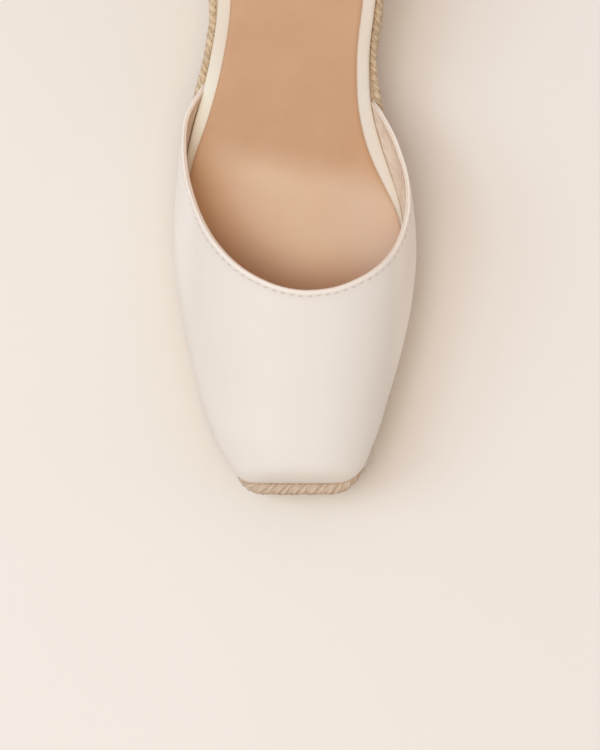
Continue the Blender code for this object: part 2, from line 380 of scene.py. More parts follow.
def region(piece, point, facing):
    """Keep only the smooth region that holds the face nearest to a point."""
    number = nearest_face(piece, point, facing).index
    edit(piece)
    leave()
    piece.data.polygons[number].select = True
    bpy.ops.object.mode_set(mode="EDIT")
    bpy.ops.mesh.select_linked(delimit={"SHARP"})
    bpy.ops.mesh.select_all(action="INVERT")
    bpy.ops.mesh.delete(type="FACE")
    leave()
    return piece


# %% Modifiers, and handing a piece over
def apply_modifier(piece, kind, **settings):
    """Add a modifier, set it and apply it."""
    activate(piece)
    modifier = piece.modifiers.new(kind.lower(), kind)
    for key, value in settings.items():
        setattr(modifier, key, value)
    bpy.ops.object.modifier_apply(modifier=modifier.name)


def bevelled(piece, width, degrees, segments=2):
    """Round the edges that turn by more than so many degrees."""
    apply_modifier(piece, "BEVEL", width=width, segments=segments, limit_method="ANGLE",
                   angle_limit=math.radians(degrees), use_clamp_overlap=False)


def rounded(piece, levels):
    """Round a piece all over by subdivision."""
    apply_modifier(piece, "SUBSURF", levels=levels, render_levels=levels)


def dress(piece, finish, slot, *nodes):
    """Give a piece its finish and hide the solids it stands for; the slot is not used."""
    piece.data.materials.clear()
    piece.data.materials.append(finish)
    piece.data.polygons.foreach_set("material_index", [0] * len(piece.data.polygons))
    piece.data.shade_smooth()
    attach(piece, "root")
    if nodes:
        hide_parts(*nodes)
    count = sum(len(face.vertices) - 2 for face in piece.data.polygons)
    print(f"{piece.name}: {count} triangles")


# %% Reading and writing points
def points_of(mesh):
    """Where a mesh's points are, a row for each."""
    points = np.zeros(len(mesh.vertices) * 3)
    mesh.vertices.foreach_get("co", points)
    return points.reshape(-1, 3)


def set_points(mesh, points):
    """Put a mesh's points somewhere else."""
    mesh.vertices.foreach_set("co", np.asarray(points, np.float32).ravel())
    mesh.update()


def normals_of(mesh):
    """The way that a mesh faces at each point."""
    normals = np.zeros(len(mesh.vertices) * 3)
    mesh.vertex_normals.foreach_get("vector", normals)
    return normals.reshape(-1, 3)


def store(mesh, name, values):
    """Keep one number for each point of a mesh, for its finish to read."""
    mesh.attributes.new(name, "FLOAT", "POINT").data.foreach_set("value", values)


# %% Measuring lines
def length_along(line):
    """How far each point of a line is from its start, along the line."""
    return np.append(0, np.cumsum(np.linalg.norm(np.diff(line, axis=0), axis=1)))


def evenly(line, step):
    """The points of an open line again, `step` apart."""
    run = length_along(line)
    at = np.linspace(0, run[-1], max(round(run[-1] / step), 1) + 1)
    return np.column_stack([np.interp(at, run, line[:, k]) for k in range(3)])


def nearest_on(line, points):
    """For each point, the number of the closest point of a line and how far it is."""
    tree = KDTree(len(line))
    for number, point in enumerate(line):
        tree.insert(point, number)
    tree.balance()
    found = [tree.find(point)[1:] for point in points]
    return np.array([n for n, _ in found]), np.array([d for _, d in found])


# %% Finding the lines of a mesh
RIM_ANGLE = 60
FEWEST_IN_RIM = 20


def chains(pairs):
    """Closed chains of vertex numbers, from the pairs of numbers that edges join."""
    joined = {}
    for a, b in pairs:
        joined.setdefault(a, []).append(b)
        joined.setdefault(b, []).append(a)
    found = []
    while joined:
        chain = [min(joined)]
        while chain[-1] in joined:
            following = [n for n in joined.pop(chain[-1]) if n in joined]
            if not following:
                break
            chain.append(following[0])
        found.append(chain)
    return found


def border(mesh):
    """Vertex numbers round the open edge of a sheet, in order."""
    uses = {}
    for face in mesh.polygons:
        for pair in face.edge_keys:
            uses[pair] = uses.get(pair, 0) + 1
    return max(chains([pair for pair, count in uses.items() if count == 1]), key=len)


def rims(piece):
    """The closed lines round a slab's upper and lower edges, as points, upper first."""
    mark_sharp(piece, RIM_ANGLE)
    pairs = [tuple(edge.vertices) for edge in piece.data.edges if edge.use_edge_sharp]
    points = points_of(piece.data)
    lines = [points[chain] for chain in chains(pairs) if len(chain) > FEWEST_IN_RIM]
    print(piece.name, "rims:", [len(line) for line in lines])
    return sorted(lines, key=lambda line: -line[:, 2].mean())


# %% Lines round the shoe
RIM_STEP = 0.5 * MM


def resample(line, step):
    """The points of a closed line again, `step` apart, from its foremost point on."""
    line = np.roll(line, -np.argmin(line[:, 1]), axis=0)
    to_outer_side = line[1:20, 0].mean() < line[0, 0]
    if to_outer_side:
        line = np.roll(line[::-1], 1, axis=0)
    return evenly(np.vstack([line, line[:1]]), step)[:-1]


def soften(line, reach):
    """Average a closed line with itself over about `reach` points each way."""
    spread = 3 * reach
    weights = np.exp(-0.5 * (np.arange(-spread, spread + 1) / reach) ** 2)
    padded = np.vstack([line[-spread:], line, line[:spread]])
    return np.column_stack([np.convolve(padded[:, k], weights / weights.sum(), "valid")
                            for k in range(3)])


def level(points):
    """The same points dropped to the floor, to compare them as seen from above."""
    return points * (1, 1, 0)


def frames(line, closed=True):
    """Along, out and up at each point of a line round the wedge."""
    if closed:
        along = np.roll(line, -1, axis=0) - np.roll(line, 1, axis=0)
    else:
        along = np.gradient(line, axis=0)
    along /= np.linalg.norm(along, axis=1)[:, None]
    out = np.column_stack([along[:, 1], -along[:, 0], np.zeros(len(line))])
    out /= np.linalg.norm(out, axis=1)[:, None]
    return along, out, np.cross(out, along)

# %% [markdown]
# ## The upper
#
# A mule's vamp is one piece of leather about a millimetre thick, pulled over
# the last. Along the topline it is folded over, which leaves a soft round
# edge, and a thin lining is stitched in just below that fold. So the outside
# and the inside of the solid become two sheets. Each is cut out of a copy,
# bent where the real one is, given its own thickness, bevelled along its rims
# and rounded by subdivision.

# %% Two sheets out of the solid
MID_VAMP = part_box("insole_board")[0].y + 30 * MM
ABOVE_VAMP = (0, MID_VAMP, 100 * MM)
BELOW_VAMP = (0, MID_VAMP, 30 * MM)
WALL_EDGE_ANGLE = 70

upper_solid = merged_copy("upper", "upper_solid")
mark_sharp(upper_solid, WALL_EDGE_ANGLE)
vamp = region(new_object("vamp_leather", upper_solid.data.copy()), ABOVE_VAMP, (0, 0, 1))
lining = region(new_object("vamp_lining", upper_solid.data.copy()), BELOW_VAMP, (0, 0, -1))
bpy.data.objects.remove(upper_solid)
print("outside", len(vamp.data.polygons), "inside", len(lining.data.polygons))

# %% [markdown]
# ## The topline
#
# The topline runs from the tip of the outer wing round the throat to the tip
# of the inner wing. It is the upper half of a sheet's border, so it is found
# there, between the two points of the border that lie furthest back.


# %% Finding the topline
def topline(mesh):
    """The points along the topline, from the outer wing tip to the inner one."""
    ring = border(mesh)
    points = points_of(mesh)[ring]
    outer = max((i for i in range(len(ring)) if points[i, 0] < 0), key=lambda i: points[i, 1])
    inner = max((i for i in range(len(ring)) if points[i, 0] > 0), key=lambda i: points[i, 1])
    count = (inner - outer) % len(ring)
    one_way = [ring[(outer + i) % len(ring)] for i in range(count + 1)]
    other_way = [ring[(outer - i) % len(ring)] for i in range(len(ring) - count + 1)]
    height = points_of(mesh)[:, 2]
    return points_of(mesh)[max(one_way, other_way, key=lambda way: height[way].mean())]


edge_line = topline(vamp.data)
print("topline:", len(edge_line), "points,", round(length_along(edge_line)[-1] / MM), "mm")

# %% [markdown]
# ## Bending the sheets
#
# Along the topline the leather is drawn in and dips a little towards the foot.
# The wing tips close up against the footbed, the topline stands off a little
# on both sides of the throat, its front is trued to an even curve, and the
# inner corner of the toe is pulled tight. Below the footbed's edge the lining
# turns in under it, so from above only a fine dark line shows between the two.
# These are soft moves that fade out with distance, so they are done on the
# points of the open sheets. The lining is moved up against the leather first,
# so no slot stays between them. Slabs are trued in the same way with `nudge`,
# which moves whatever lies near a place as seen from above.

# %% Soft moves
def soft(share):
    """A share from 0 to 1 with soft ends, clipped outside."""
    share = np.clip(share, 0, 1)
    return share * share * (3 - 2 * share)


def far_from(points, across, along):
    """How far points lie from a place as seen from above; the place in millimetres."""
    return np.linalg.norm(level(points) - np.array([across, along, 0]) * MM, axis=1)


def on_topline(across, along):
    """The topline's point nearest to a place as seen from above, in millimetres."""
    return edge_line[far_from(edge_line, across, along).argmin()]


def nudge(piece, across, along, reach, *move):
    """Move what lies near a place, as seen from above, softly; all in millimetres."""
    points = points_of(piece.data)
    share = soft(1 - far_from(points, across, along) / (reach * MM))
    points[:, :2] += share[:, None] * np.array(move) * MM
    set_points(piece.data, points)


# %% What each soft move of the upper does, in millimetres
TIP_REACH = 9
SIDE_REACH = 22
FRONT_REACH = 16
TOE_REACH = 15
TOE_CORNER = np.array([25, -115, 22]) * MM

# Where it is strongest, how far it reaches, and the way it goes.
MOVES = ((edge_line[0], TIP_REACH, (1.3, 0.9, 0)),
         (edge_line[-1], TIP_REACH, (-0.4, 0, 0)),
         (on_topline(-38, -19), SIDE_REACH, (-1.3, 0, 0)),
         (on_topline(-32, -35), FRONT_REACH, (-0.5, -0.15, 0)),
         (on_topline(38, -34), SIDE_REACH, (0.6, -0.1, 0)),
         (on_topline(19, -52), FRONT_REACH, (-0.35, 0.6, 0)),
         (TOE_CORNER, TOE_REACH, (-0.8, 0.3, 0)))
print("soft moves:", len(MOVES))

# %% Drawing the topline in
LEATHER = 1.0 * MM
LINING = 0.7 * MM
OVERLAP = 0.05 * MM
WALL = 1.6 * MM
DIP_WIDTH = 6.0 * MM
DIP = 0.5 * MM


def bend(piece, inwards):
    """Draw a sheet in along the topline, then make the soft moves listed above."""
    points = points_of(piece.data)
    _, away = nearest_on(evenly(edge_line, RIM_STEP), points)
    normals = normals_of(piece.data)
    drawn = DIP * np.clip(1 - away / DIP_WIDTH, 0, 1) ** 2 * normals[:, 2] ** 2
    points += normals * (drawn * inwards)[:, None]
    for middle, reach, move in MOVES:
        share = soft(1 - np.linalg.norm(points - middle, axis=1) / (reach * MM))
        points += share[:, None] * (np.array(move) * MM)
    set_points(piece.data, points)


apply_modifier(lining, "DISPLACE", strength=LEATHER + LINING - OVERLAP - WALL, mid_level=0)
bend(vamp, -1)
bend(lining, 1)
edge_line = topline(vamp.data)
print("topline now:", round(length_along(edge_line)[-1] / MM), "mm")

# %% Turning the lining in under the footbed
OUTER_GAP = 0.85 * MM
INNER_GAP = 0.3 * MM
TURN_HEIGHT = 7.0 * MM
TURN_START = -70 * MM
TURN_FADE = 15 * MM
CLEAR_OF_TIP = 6 * MM

board = merged_copy("insole_board", "footbed_cover")
nudge(board, 37, -20, 14, 0.4, 0)
board_rim = resample(rims(board)[0], RIM_STEP)


def turn_in(piece):
    """Bring a sheet up to the footbed's edge, the more the lower it lies beside it."""
    points = points_of(piece.data)
    number, _ = nearest_on(level(board_rim), level(points))
    _, out, _ = frames(board_rim)
    beyond = ((level(points) - level(board_rim[number])) * out[number]).sum(axis=1)
    gap = np.where(points[:, 0] < 0, OUTER_GAP, INNER_GAP)
    height = points[:, 2] - board_rim[number, 2]
    share = soft(1 - height / TURN_HEIGHT) * soft((points[:, 1] - TURN_START) / TURN_FADE)
    share *= soft(np.linalg.norm(points - edge_line[-1], axis=1) / CLEAR_OF_TIP)
    points -= out[number] * (np.clip(beyond - gap, 0, None) * share)[:, None]
    set_points(piece.data, points)


turn_in(lining)

# %% [markdown]
# ## Thickness and rims
#
# Solidify gives each sheet its thickness, from the solid's face into the wall.
# The leather's rim is bevelled until it is almost round, because it is a fold.
# The lining's rim is a cut edge, so it keeps a narrow flat.

# %% The thickness of leather and lining
FOLD_ROUNDING = 0.42 * MM
CUT_ROUNDING = 0.12 * MM
FOLD_ANGLE = 60

apply_modifier(vamp, "SOLIDIFY", thickness=LEATHER, offset=-1)
bevelled(vamp, FOLD_ROUNDING, FOLD_ANGLE, segments=3)
rounded(vamp, 2)
apply_modifier(lining, "SOLIDIFY", thickness=LINING, offset=-1)
bevelled(lining, CUT_ROUNDING, FOLD_ANGLE)
rounded(lining, 1)
print("leather", len(vamp.data.polygons), "lining", len(lining.data.polygons), "faces")

# %% [markdown]
# ## What the leather's finish needs to know
#
# The seam below the topline shows as a row of small hollows, so the finish
# needs two numbers at each point: how far it is from the topline, and how far
# along the topline it lies. They are measured here and kept in the mesh.

# %% Distances from and along the topline
fine_edge = evenly(edge_line, 0.25 * MM)


def measure(piece):
    """Keep each point's distance from the topline, and its place along it."""
    number, away = nearest_on(fine_edge, points_of(piece.data))
    store(piece.data, "from_topline", away / MM)
    store(piece.data, "along_topline", length_along(fine_edge)[number] / MM)


measure(vamp)
measure(lining)

# %% [markdown]
# ## The seam
#
# The lining is held by one row of lockstitch, about 3 mm a stitch and just
# under 2 mm below the fold. One stitch is a short grain of thread: a ball
# stretched in edit mode, with a few dozen faces. It is copied along the seam,
# each copy lying on the leather and slanted a little, as lockstitch is.

# %% One stitch
STITCH_PITCH = 3.0 * MM
STITCH_LENGTH = 1.8 * MM
STITCH_WIDTH = 0.36 * MM
SEAM_INSET = 1.9 * MM
SEAM_SLANT = math.radians(5)
STEPS_DOWN = 3

bpy.ops.mesh.primitive_uv_sphere_add(segments=8, ring_count=6, radius=0.5)
stitch = bpy.context.active_object
bpy.ops.object.mode_set(mode="EDIT")
bpy.ops.transform.rotate(value=math.pi / 2, orient_axis="Y", center_override=(0, 0, 0))
bpy.ops.transform.resize(value=(STITCH_LENGTH, STITCH_WIDTH, STITCH_WIDTH),
                         center_override=(0, 0, 0))
leave()
stitch_points = points_of(stitch.data)
print("stitch", [round(value / MM, 2) for value in np.ptp(stitch_points, axis=0)])


# %% The row of stitches
def seam_places():
    """Where each stitch sits: its middle, its direction and the leather's normal."""
    line = evenly(edge_line, STITCH_PITCH)
    places = []
    for start, end in zip(line, line[1:]):
        along = Vector(end - start).normalized()
        _, place, facing, _ = vamp.closest_point_on_mesh(Vector((start + end) / 2))
        for _ in range(STEPS_DOWN):
            down = along.cross(facing).normalized() * SEAM_INSET / STEPS_DOWN
            _, place, facing, _ = vamp.closest_point_on_mesh(place + down)
        places.append((place, along, facing))
    return places


def copies_joined(pattern, name, placed):
    """Copies of one small piece, each with its own points, joined into one piece."""
    copies = []
    for points in placed:
        copies.append(new_object(name, pattern.data.copy()))
        set_points(copies[-1].data, points)
    activate(copies[0])
    for copy in copies:
        copy.select_set(True)
    bpy.ops.object.join()
    return copies[0]


placed = []
for place, along, facing in seam_places():
    ahead = along * math.cos(SEAM_SLANT) + facing.cross(along) * math.sin(SEAM_SLANT)
    turned = np.array([ahead, facing.cross(ahead), facing])
    placed.append(np.array(place) + stitch_points @ turned)
seam = copies_joined(stitch, "topline_seam", placed)
bpy.data.objects.remove(stitch)
print("stitches:", len(placed))

# %% [markdown]
# ## The leather's finish
#
# Smooth nappa leather has a fine grain, which shows only as a soft break-up
# of the gloss, and a faint cloudiness from the finish. Along the seam the
# thread pulls the leather down into a row of hollows: `groove` is 1 along the
# seam, and `pull` swings between stitches. Towards the throat the dip beside
# the seam and the groove are darkened with painted shade. Painted light makes
# the leather paler along both sides and over the toe's front. The fold gets a
# warm tone with a painted highlight.

# %% White leather
GRAIN_SIZE = 0.55 * MM
PORE_SIZE = 0.25 * MM
CLOUD_SIZE = 18 * MM
GRAIN_DEPTH = 0.02 * MM
VAMP_TONES = srgb(233, 225, 214), srgb(230, 222, 210)


def white_leather(name, pale, deep):
    """Fine-grained leather between two close tones, for a finish to build on."""
    finish = Finish(name)
    place = finish.place()
    grain = finish.cells(place, GRAIN_SIZE)
    pores = finish.noise(place, PORE_SIZE)
    cloud = finish.noise(place, CLOUD_SIZE, detail=3)
    colour = finish.mix(cloud, pale, deep)
    relief = finish.bump(grain + pores * 0.5, GRAIN_DEPTH)
    return finish, colour, cloud, relief


# %% The hollows along the seam
HOLLOW_DEPTH = 0.14 * MM


def seam_hollows(finish, relief):
    """How far each point is inside the seam's groove, and the relief with its hollows."""
    away = finish.attribute("from_topline")
    beside = finish.node("Math", {"operation": "ABSOLUTE"}, {0: away - SEAM_INSET / MM})
    groove = 1 - finish.between(beside, 0.1, 0.9)
    turns = finish.attribute("along_topline") * (2 * math.pi / (STITCH_PITCH / MM))
    swing = finish.node("Math", {"operation": "COSINE"}, {0: turns})
    pull = groove * (0.75 - swing * 0.25)
    return groove, finish.bump(1 - pull, HOLLOW_DEPTH, relief)


# %% The vamp's finish
def vamp_finish():
    """White leather with its seam, painted shade along the seam at the throat, painted light on
    the sides and the toe, and a painted highlight on the fold.
    """
    finish, colour, cloud, relief = white_leather("vamp_leather", *VAMP_TONES)
    groove, relief = seam_hollows(finish, relief)
    away = finish.attribute("from_topline")
    across = finish.part(finish.place(), "X")
    along = finish.part(finish.place(), "Y")
    front = 1 - finish.between(along, -42 * MM, -16 * MM)
    # Painted shade in the dip beside the seam and in its groove, towards the throat.
    painted_dip_shade = finish.between(away, 0.9, 1.7) - finish.between(away, 1.7, 5.5)
    # Painted light on both sides, where the vamp turns down away from the lamps.
    outer = 1 - finish.between(across, -38 * MM, -33 * MM)
    outer = outer * finish.between(along, -75 * MM, -30 * MM)
    inner = finish.between(across, 33 * MM, 38 * MM)
    # The fold gets a warm tone with a painted highlight.
    fold = 1 - finish.between(away, 0.8, 1.6)
    # Painted light on the toe's front, where it rounds down.
    toe = 1 - finish.between(along, -123 * MM, -112 * MM)
    colour = finish.tinted(colour, (((painted_dip_shade * 0.5 + groove * 0.3) * front, srgb(226, 214, 203)),
                                    (outer * 0.8, srgb(245, 239, 228)),
                                    (inner, srgb(241, 232, 217)),
                                    (fold * 0.55, srgb(248, 232, 216)),
                                    (toe * 0.2, srgb(250, 243, 234))))
    return finish.done(Base_Color=colour, Roughness=0.5 + cloud * 0.08, Normal=relief)


def thread_finish():
    """Thread painted grey-brown at the throat, as painted shade in its hollows, and as pale as the
    leather on the wings.
    """
    finish = Finish("seam_thread")
    place = finish.place()
    fuzz = finish.noise(place, 0.3 * MM)
    # Painted shade: the thread is grey-brown towards the throat for the shade in the stitch
    # hollows, and as pale as the leather further back.
    colour = finish.mix(fuzz, srgb(214, 205, 193), srgb(196, 186, 174))
    back = finish.between(finish.part(place, "Y"), -45 * MM, -20 * MM)
    colour = finish.mix(back * 0.7, colour, srgb(236, 227, 215))
    return finish.done(Base_Color=colour, Roughness=0.8)


dress(vamp, vamp_finish(), "upper_leather", "upper")
dress(seam, thread_finish(), "upper_leather", "upper")

# %% [markdown]
# ## The lining's finish
#
# The lining is thin undyed leather, brushed along the wings, with a pale cut
# edge at the topline where the colour of the hide shows. On the outer side of
# the foot it is painted darker and yellower than on the inner side: painted
# shade on the outer wing, which faces away from the lamps.


# %% Lining leather
def lining_leather():
    """Brushed lining leather, with painted shade on the outer side, fading to paler tones on the
    inner side.
    """
    finish = Finish("lining_leather")
    place = finish.place()
    brushed = finish.noise(finish.stretched(place, 1, 0.12, 1), 1.1 * MM, detail=4)
    cloud = finish.noise(place, 9 * MM, detail=3)
    tone = finish.between(brushed * 0.6 + cloud * 0.4, 0.3, 0.7)
    # Painted shade on the outer wing's lining; this mask fades it out towards the inner side.
    painted_light_inwards = finish.between(finish.part(place, "X"), -25 * MM, 25 * MM)
    pale = finish.mix(painted_light_inwards, srgb(230, 207, 178), srgb(246, 230, 210))
    dark = finish.mix(painted_light_inwards, srgb(217, 189, 160), srgb(226, 201, 177))
    colour = finish.mix(tone, dark, pale)
    cut = 1 - finish.between(finish.attribute("from_topline"), 1.7, 2.4)
    cut_tone = finish.mix(painted_light_inwards, srgb(238, 214, 192), srgb(237, 221, 201))
    colour = finish.mix(cut * 0.7, colour, cut_tone)
    relief = finish.bump(brushed, 0.06 * MM)
    return finish.done(Base_Color=colour, Roughness=0.7, Normal=relief)


dress(lining, lining_leather(), "upper_leather", "upper")

# %% [markdown]
# ## The footbed
#
# A board is wrapped in the upper's leather, and the tan insock is glued on
# top. The wrapping is a shade fuller than the board's solid, which closes the
# gaps to its neighbours, so the copy is swelled along its normals first. The
# insock's edge is pared thin, so that the foot doesn't feel it: its upper rim
# sinks towards the wrapping. Both outlines are cut and glued by hand, so they
# are nudged by fractions of a millimetre where the real ones wander. On the
# outer side the wrapping is painted paler, as painted light where the wing
# shades it. Low down, in the gap beside the lining, it is painted brown, as
# painted shade with tan light reflected from the lining.

# %% The wrapped board
WRAPPING = 0.3 * MM
WRAP_ROUNDING = 0.5 * MM
SLAB_ANGLE = 50
COVER_TONES = srgb(233, 223, 209), srgb(230, 220, 205)

apply_modifier(board, "DISPLACE", strength=WRAPPING, mid_level=0)
nudge(board, -38, -9, 10, -0.45, 0)
bevelled(board, WRAP_ROUNDING, SLAB_ANGLE)
rounded(board, 2)
# How far each point faces up, for the painted shade on the outer side wall.
store(board.data, "upwards", normals_of(board.data)[:, 2])


def cover_finish():
    """The vamp's leather, warmer up the heel, with painted light on its outer side and painted
    shade low down on its outer wall.
    """
    finish, colour, cloud, relief = white_leather("cover_leather", *COVER_TONES)
    along = finish.part(finish.place(), "Y")
    back = finish.between(along, 5 * MM, 35 * MM)
    # Painted light on the outer side, to lift the wing's shadow.
    outer = 1 - finish.between(finish.part(finish.place(), "X"), -20 * MM, 0)
    # Painted shade with tan reflected light on the outer side wall, low in the gap beside the
    # lining.
    side = 1 - finish.between(finish.attribute("upwards"), 0.1, 0.6)
    side = side * outer * (1 - finish.between(along, -2 * MM, 8 * MM))
    colour = finish.tinted(colour, ((back, srgb(230, 216, 196)),
                                    (outer * (1 - back), srgb(241, 233, 213)),
                                    (side * 0.7, srgb(200, 150, 108))))
    return finish.done(Base_Color=colour, Roughness=0.5 + cloud * 0.08, Normal=relief)


dress(board, cover_finish(), "wrap_leather", "insole_board")

# %% The insock
PARED_WIDTH = 1.5 * MM
PARED_DROP = 0.35 * MM
RIM_ROUNDING = 0.25 * MM
THROAT_FRONT = -17 * MM
THROAT_INNER = 20 * MM

insock = merged_copy("insock", "insock_leather")
nudge(insock, -32, 0, 12, 0.65, 0)
nudge(insock, 26, -3, 16, -0.4, 0)
nudge(insock, 34, -21, 14, -0.5, 0)
insock_rim = resample(rims(insock)[0], RIM_STEP)
bevelled(insock, RIM_ROUNDING, SLAB_ANGLE)
rounded(insock, 2)

# %% Paring the insock's edge, and measuring for its finish
sock_points = points_of(insock.data)
_, away = nearest_on(insock_rim, sock_points)
store(insock.data, "from_rim", away / MM)
pared = np.clip(1 - away / PARED_WIDTH, 0, 1) ** 2
sock_points[:, 2] -= PARED_DROP * pared * np.clip(normals_of(insock.data)[:, 2], 0, 1)
set_points(insock.data, sock_points)

# Distance from the throat, for the painted shadow of the vamp on the insock.
in_throat = (edge_line[:, 0] < THROAT_INNER) & (edge_line[:, 1] < THROAT_FRONT)
throat = edge_line[in_throat]
_, away = nearest_on(level(evenly(throat, RIM_STEP)), level(sock_points))
store(insock.data, "from_throat", away / MM)
print("throat:", round(length_along(throat)[-1] / MM), "mm")

# %% [markdown]
# ## Tan leather
#
# The insock is drum-dyed leather with a fine even grain. On the slope of the
# arch it is painted a little darker than on the flat of the forefoot, as
# painted shade, and the line where that changes runs aslant, as the arch does.
# Along the throat it is painted darker again, as a painted shadow of the vamp.
# Its rim is darker too, where glue and handling show. The inner half of the
# flat is painted a shade rosier, as light reflected from the pale lining.


# %% The insock's finish
def tan_leather():
    """Drum-dyed leather, with painted shade on the slope, a painted shadow under the throat, and
    darker at its rim.
    """
    finish = Finish("tan_leather")
    place = finish.place()
    across = finish.part(place, "X")
    along = finish.part(place, "Y")
    grain = finish.noise(place, 0.9 * MM, detail=4)
    cloud = finish.noise(place, 14 * MM, detail=3)
    tone = finish.between(grain * 0.3 + cloud * 0.7, 0.25, 0.75)
    flat = finish.mix(tone, srgb(219, 181, 146), srgb(223, 187, 153))
    # Painted reflection: the inner half of the flat is tinted rosier, as light from the pale
    # lining.
    inner = finish.between(across, 5 * MM, 28 * MM)
    flat = finish.mix(inner * 0.6, flat, srgb(219, 189, 164))
    slope = finish.mix(tone, srgb(202, 156, 117), srgb(207, 162, 124))
    # Painted shade on the slope of the arch.
    arch = finish.between(along + across * 0.22, -17 * MM, -2 * MM)
    # A painted shadow of the vamp along the throat, a little lighter on the outer side.
    deep = 1 - finish.between(finish.attribute("from_throat"), 2, 24)
    inwards = finish.between(across, -32 * MM, -14 * MM)
    throat_shadow_tone = finish.mix(inwards, srgb(210, 160, 109), srgb(202, 149, 104))
    rim = 1 - finish.between(finish.attribute("from_rim"), 0.2, 1.2)
    colour = finish.tinted(flat, ((arch, slope), (deep * 0.75, throat_shadow_tone),
                                  (rim * 0.4, srgb(184, 140, 106))))
    relief = finish.bump(finish.cells(place, 0.5 * MM) + grain * 0.5, 0.025 * MM)
    return finish.done(Base_Color=colour, Roughness=0.55, Normal=relief)


dress(insock, tan_leather(), "sock_leather", "insock")

# %% [markdown]
# ## The jute
#
# An espadrille's sole is a flat plait wound round and round the shoe and sewn
# through. Each plait has three strands of three yarns, so one length of it,
# in which every yarn swings once from edge to edge and back, is modelled once:
# nine curves with a round profile, made into a mesh, whose two ends are made
# alike so that they meet. That length is copied end to end along lines round
# the wedge's wall. The lines come from the rims of the solid, so the plait
# follows the sole exactly.

# %% The wall of the wedge
WALL_STEP = 1.0 * MM
WALL_SOFTENING = 3

wedge = merged_copy("jute_wedge", "wedge_core")
top_rim, bottom_rim = rims(wedge)
wall_top = soften(resample(top_rim, WALL_STEP), WALL_SOFTENING)
bottom_line = resample(bottom_rim, WALL_STEP)
beneath, _ = nearest_on(level(bottom_line), level(wall_top))
wall_bottom = soften(bottom_line[beneath], WALL_SOFTENING)
wall_height = (wall_top - wall_bottom)[:, 2]
print("wall", round(wall_height.min() / MM, 1), "to", round(wall_height.max() / MM, 1), "mm high")

# %% One length of plait
PLAIT_LENGTH = 18 * MM
PLAIT_REACH = 3.45 * MM
PLAIT_DEPTH = 0.9 * MM
STRANDS = 3
YARNS_IN_STRAND = 3
YARN_RADIUS = 0.77 * MM
YARN_SIDES = 6
YARN_SPREAD = 0.9
STEPS = 20


def plait_unit():
    """One length of the flat plait, laid straight along X and facing +Z."""
    bpy.ops.mesh.primitive_circle_add(vertices=YARN_SIDES, radius=YARN_RADIUS)
    profile = bpy.context.active_object
    bpy.ops.object.convert(target="CURVE")
    curve = bpy.data.curves.new("plait_unit", "CURVE")
    curve.dimensions = "3D"
    curve.bevel_mode = "OBJECT"
    curve.bevel_object = profile
    run = np.linspace(0, 1, STEPS + 1)
    for number in range(STRANDS * YARNS_IN_STRAND):
        strand, yarn = divmod(number, YARNS_IN_STRAND)
        start = (strand + (yarn - 1) * YARN_SPREAD / YARNS_IN_STRAND) / STRANDS
        turn = 2 * math.pi * (run + start)
        line = curve.splines.new("POLY")
        line.points.add(STEPS)
        places = [run * PLAIT_LENGTH, PLAIT_REACH * np.sin(turn),
                  PLAIT_DEPTH * np.sin(2 * turn), np.ones(STEPS + 1)]
        line.points.foreach_set("co", np.column_stack(places).ravel())
    unit = new_object("plait_unit", curve)
    activate(unit)
    bpy.ops.object.convert(target="MESH")
    bpy.data.objects.remove(profile)
    rings = points_of(unit.data).reshape(-1, STEPS + 1, YARN_SIDES, 3)
    joint = (rings[:, 0] + rings[:, -1] - (PLAIT_LENGTH, 0, 0)) / 2
    rings[:, 0] = joint
    rings[:, -1] = joint + (PLAIT_LENGTH, 0, 0)
    set_points(unit.data, rings.reshape(-1, 3))
    return unit


unit = plait_unit()
unit_points = points_of(unit.data)
print("one length:", len(unit.data.polygons), "faces,",
      [round(value / MM, 1) for value in np.ptp(unit_points, axis=0)], "mm")

# %% [markdown]
# ## Winding the plait
#
# At each point of a line there are three directions: along it, out of the
# wall and up. A length's points are carried over into them, so the plait bends
# with the wall. Hand-plaited jute is never even, so each row is pushed about a
# little by a cloudy texture afterwards.


# %% What makes the plait uneven
def unevenness(size):
    """A cloudy texture that pushes points about, in blotches of that size."""
    texture = bpy.data.textures.new("unevenness", "CLOUDS")
    texture.cloud_type = "COLOR"
    texture.noise_scale = size
    return texture


# Each texture, and how far it pushes.
PUSHES = ((unevenness(5 * MM), 0.45 * MM),
          (unevenness(1.1 * MM), 0.6 * MM))

# %% Laying a plait along a line
SAME_END = 0.02 * MM


def lay_plait(name, line, wider, deeper, closed):
    """Wrap lengths of plait end to end along a line, made wider and deeper point by point."""
    _, out, up = frames(line, closed)
    if closed:
        line, out, up, wider, deeper = [np.concatenate([values, values[:1]])
                                        for values in (line, out, up, wider, deeper)]
    run = length_along(line)
    count = max(round(run[-1] / PLAIT_LENGTH), 1)

    def read(values, at):
        return np.column_stack([np.interp(at, run, values[:, k]) for k in range(3)])

    placed = []
    for number in range(count):
        at = (unit_points[:, 0] / PLAIT_LENGTH + number) * run[-1] / count
        at = at % run[-1] if closed else at
        high = unit_points[:, 1] * np.interp(at, run, wider)
        deep = unit_points[:, 2] * np.interp(at, run, deeper)
        off_line = read(up, at) * high[:, None] + read(out, at) * deep[:, None]
        placed.append(read(line, at) + off_line)
    row = copies_joined(unit, name, placed)
    edit(row)
    bpy.ops.mesh.select_all(action="SELECT")
    bpy.ops.mesh.remove_doubles(threshold=SAME_END)
    leave()
    for texture, push in PUSHES:
        apply_modifier(row, "DISPLACE", texture=texture, direction="RGB_TO_XYZ",
                       mid_level=0.5, strength=push)
    return row


# %% [markdown]
# ## Jute
#
# Jute yarn is two twisted plies of coarse, pale brown fibre. The yarn's own
# coordinates give the twist, as slanted ridges, and the fibres, as fine
# streaks drawn out along it. It is a little greyer at the toe.


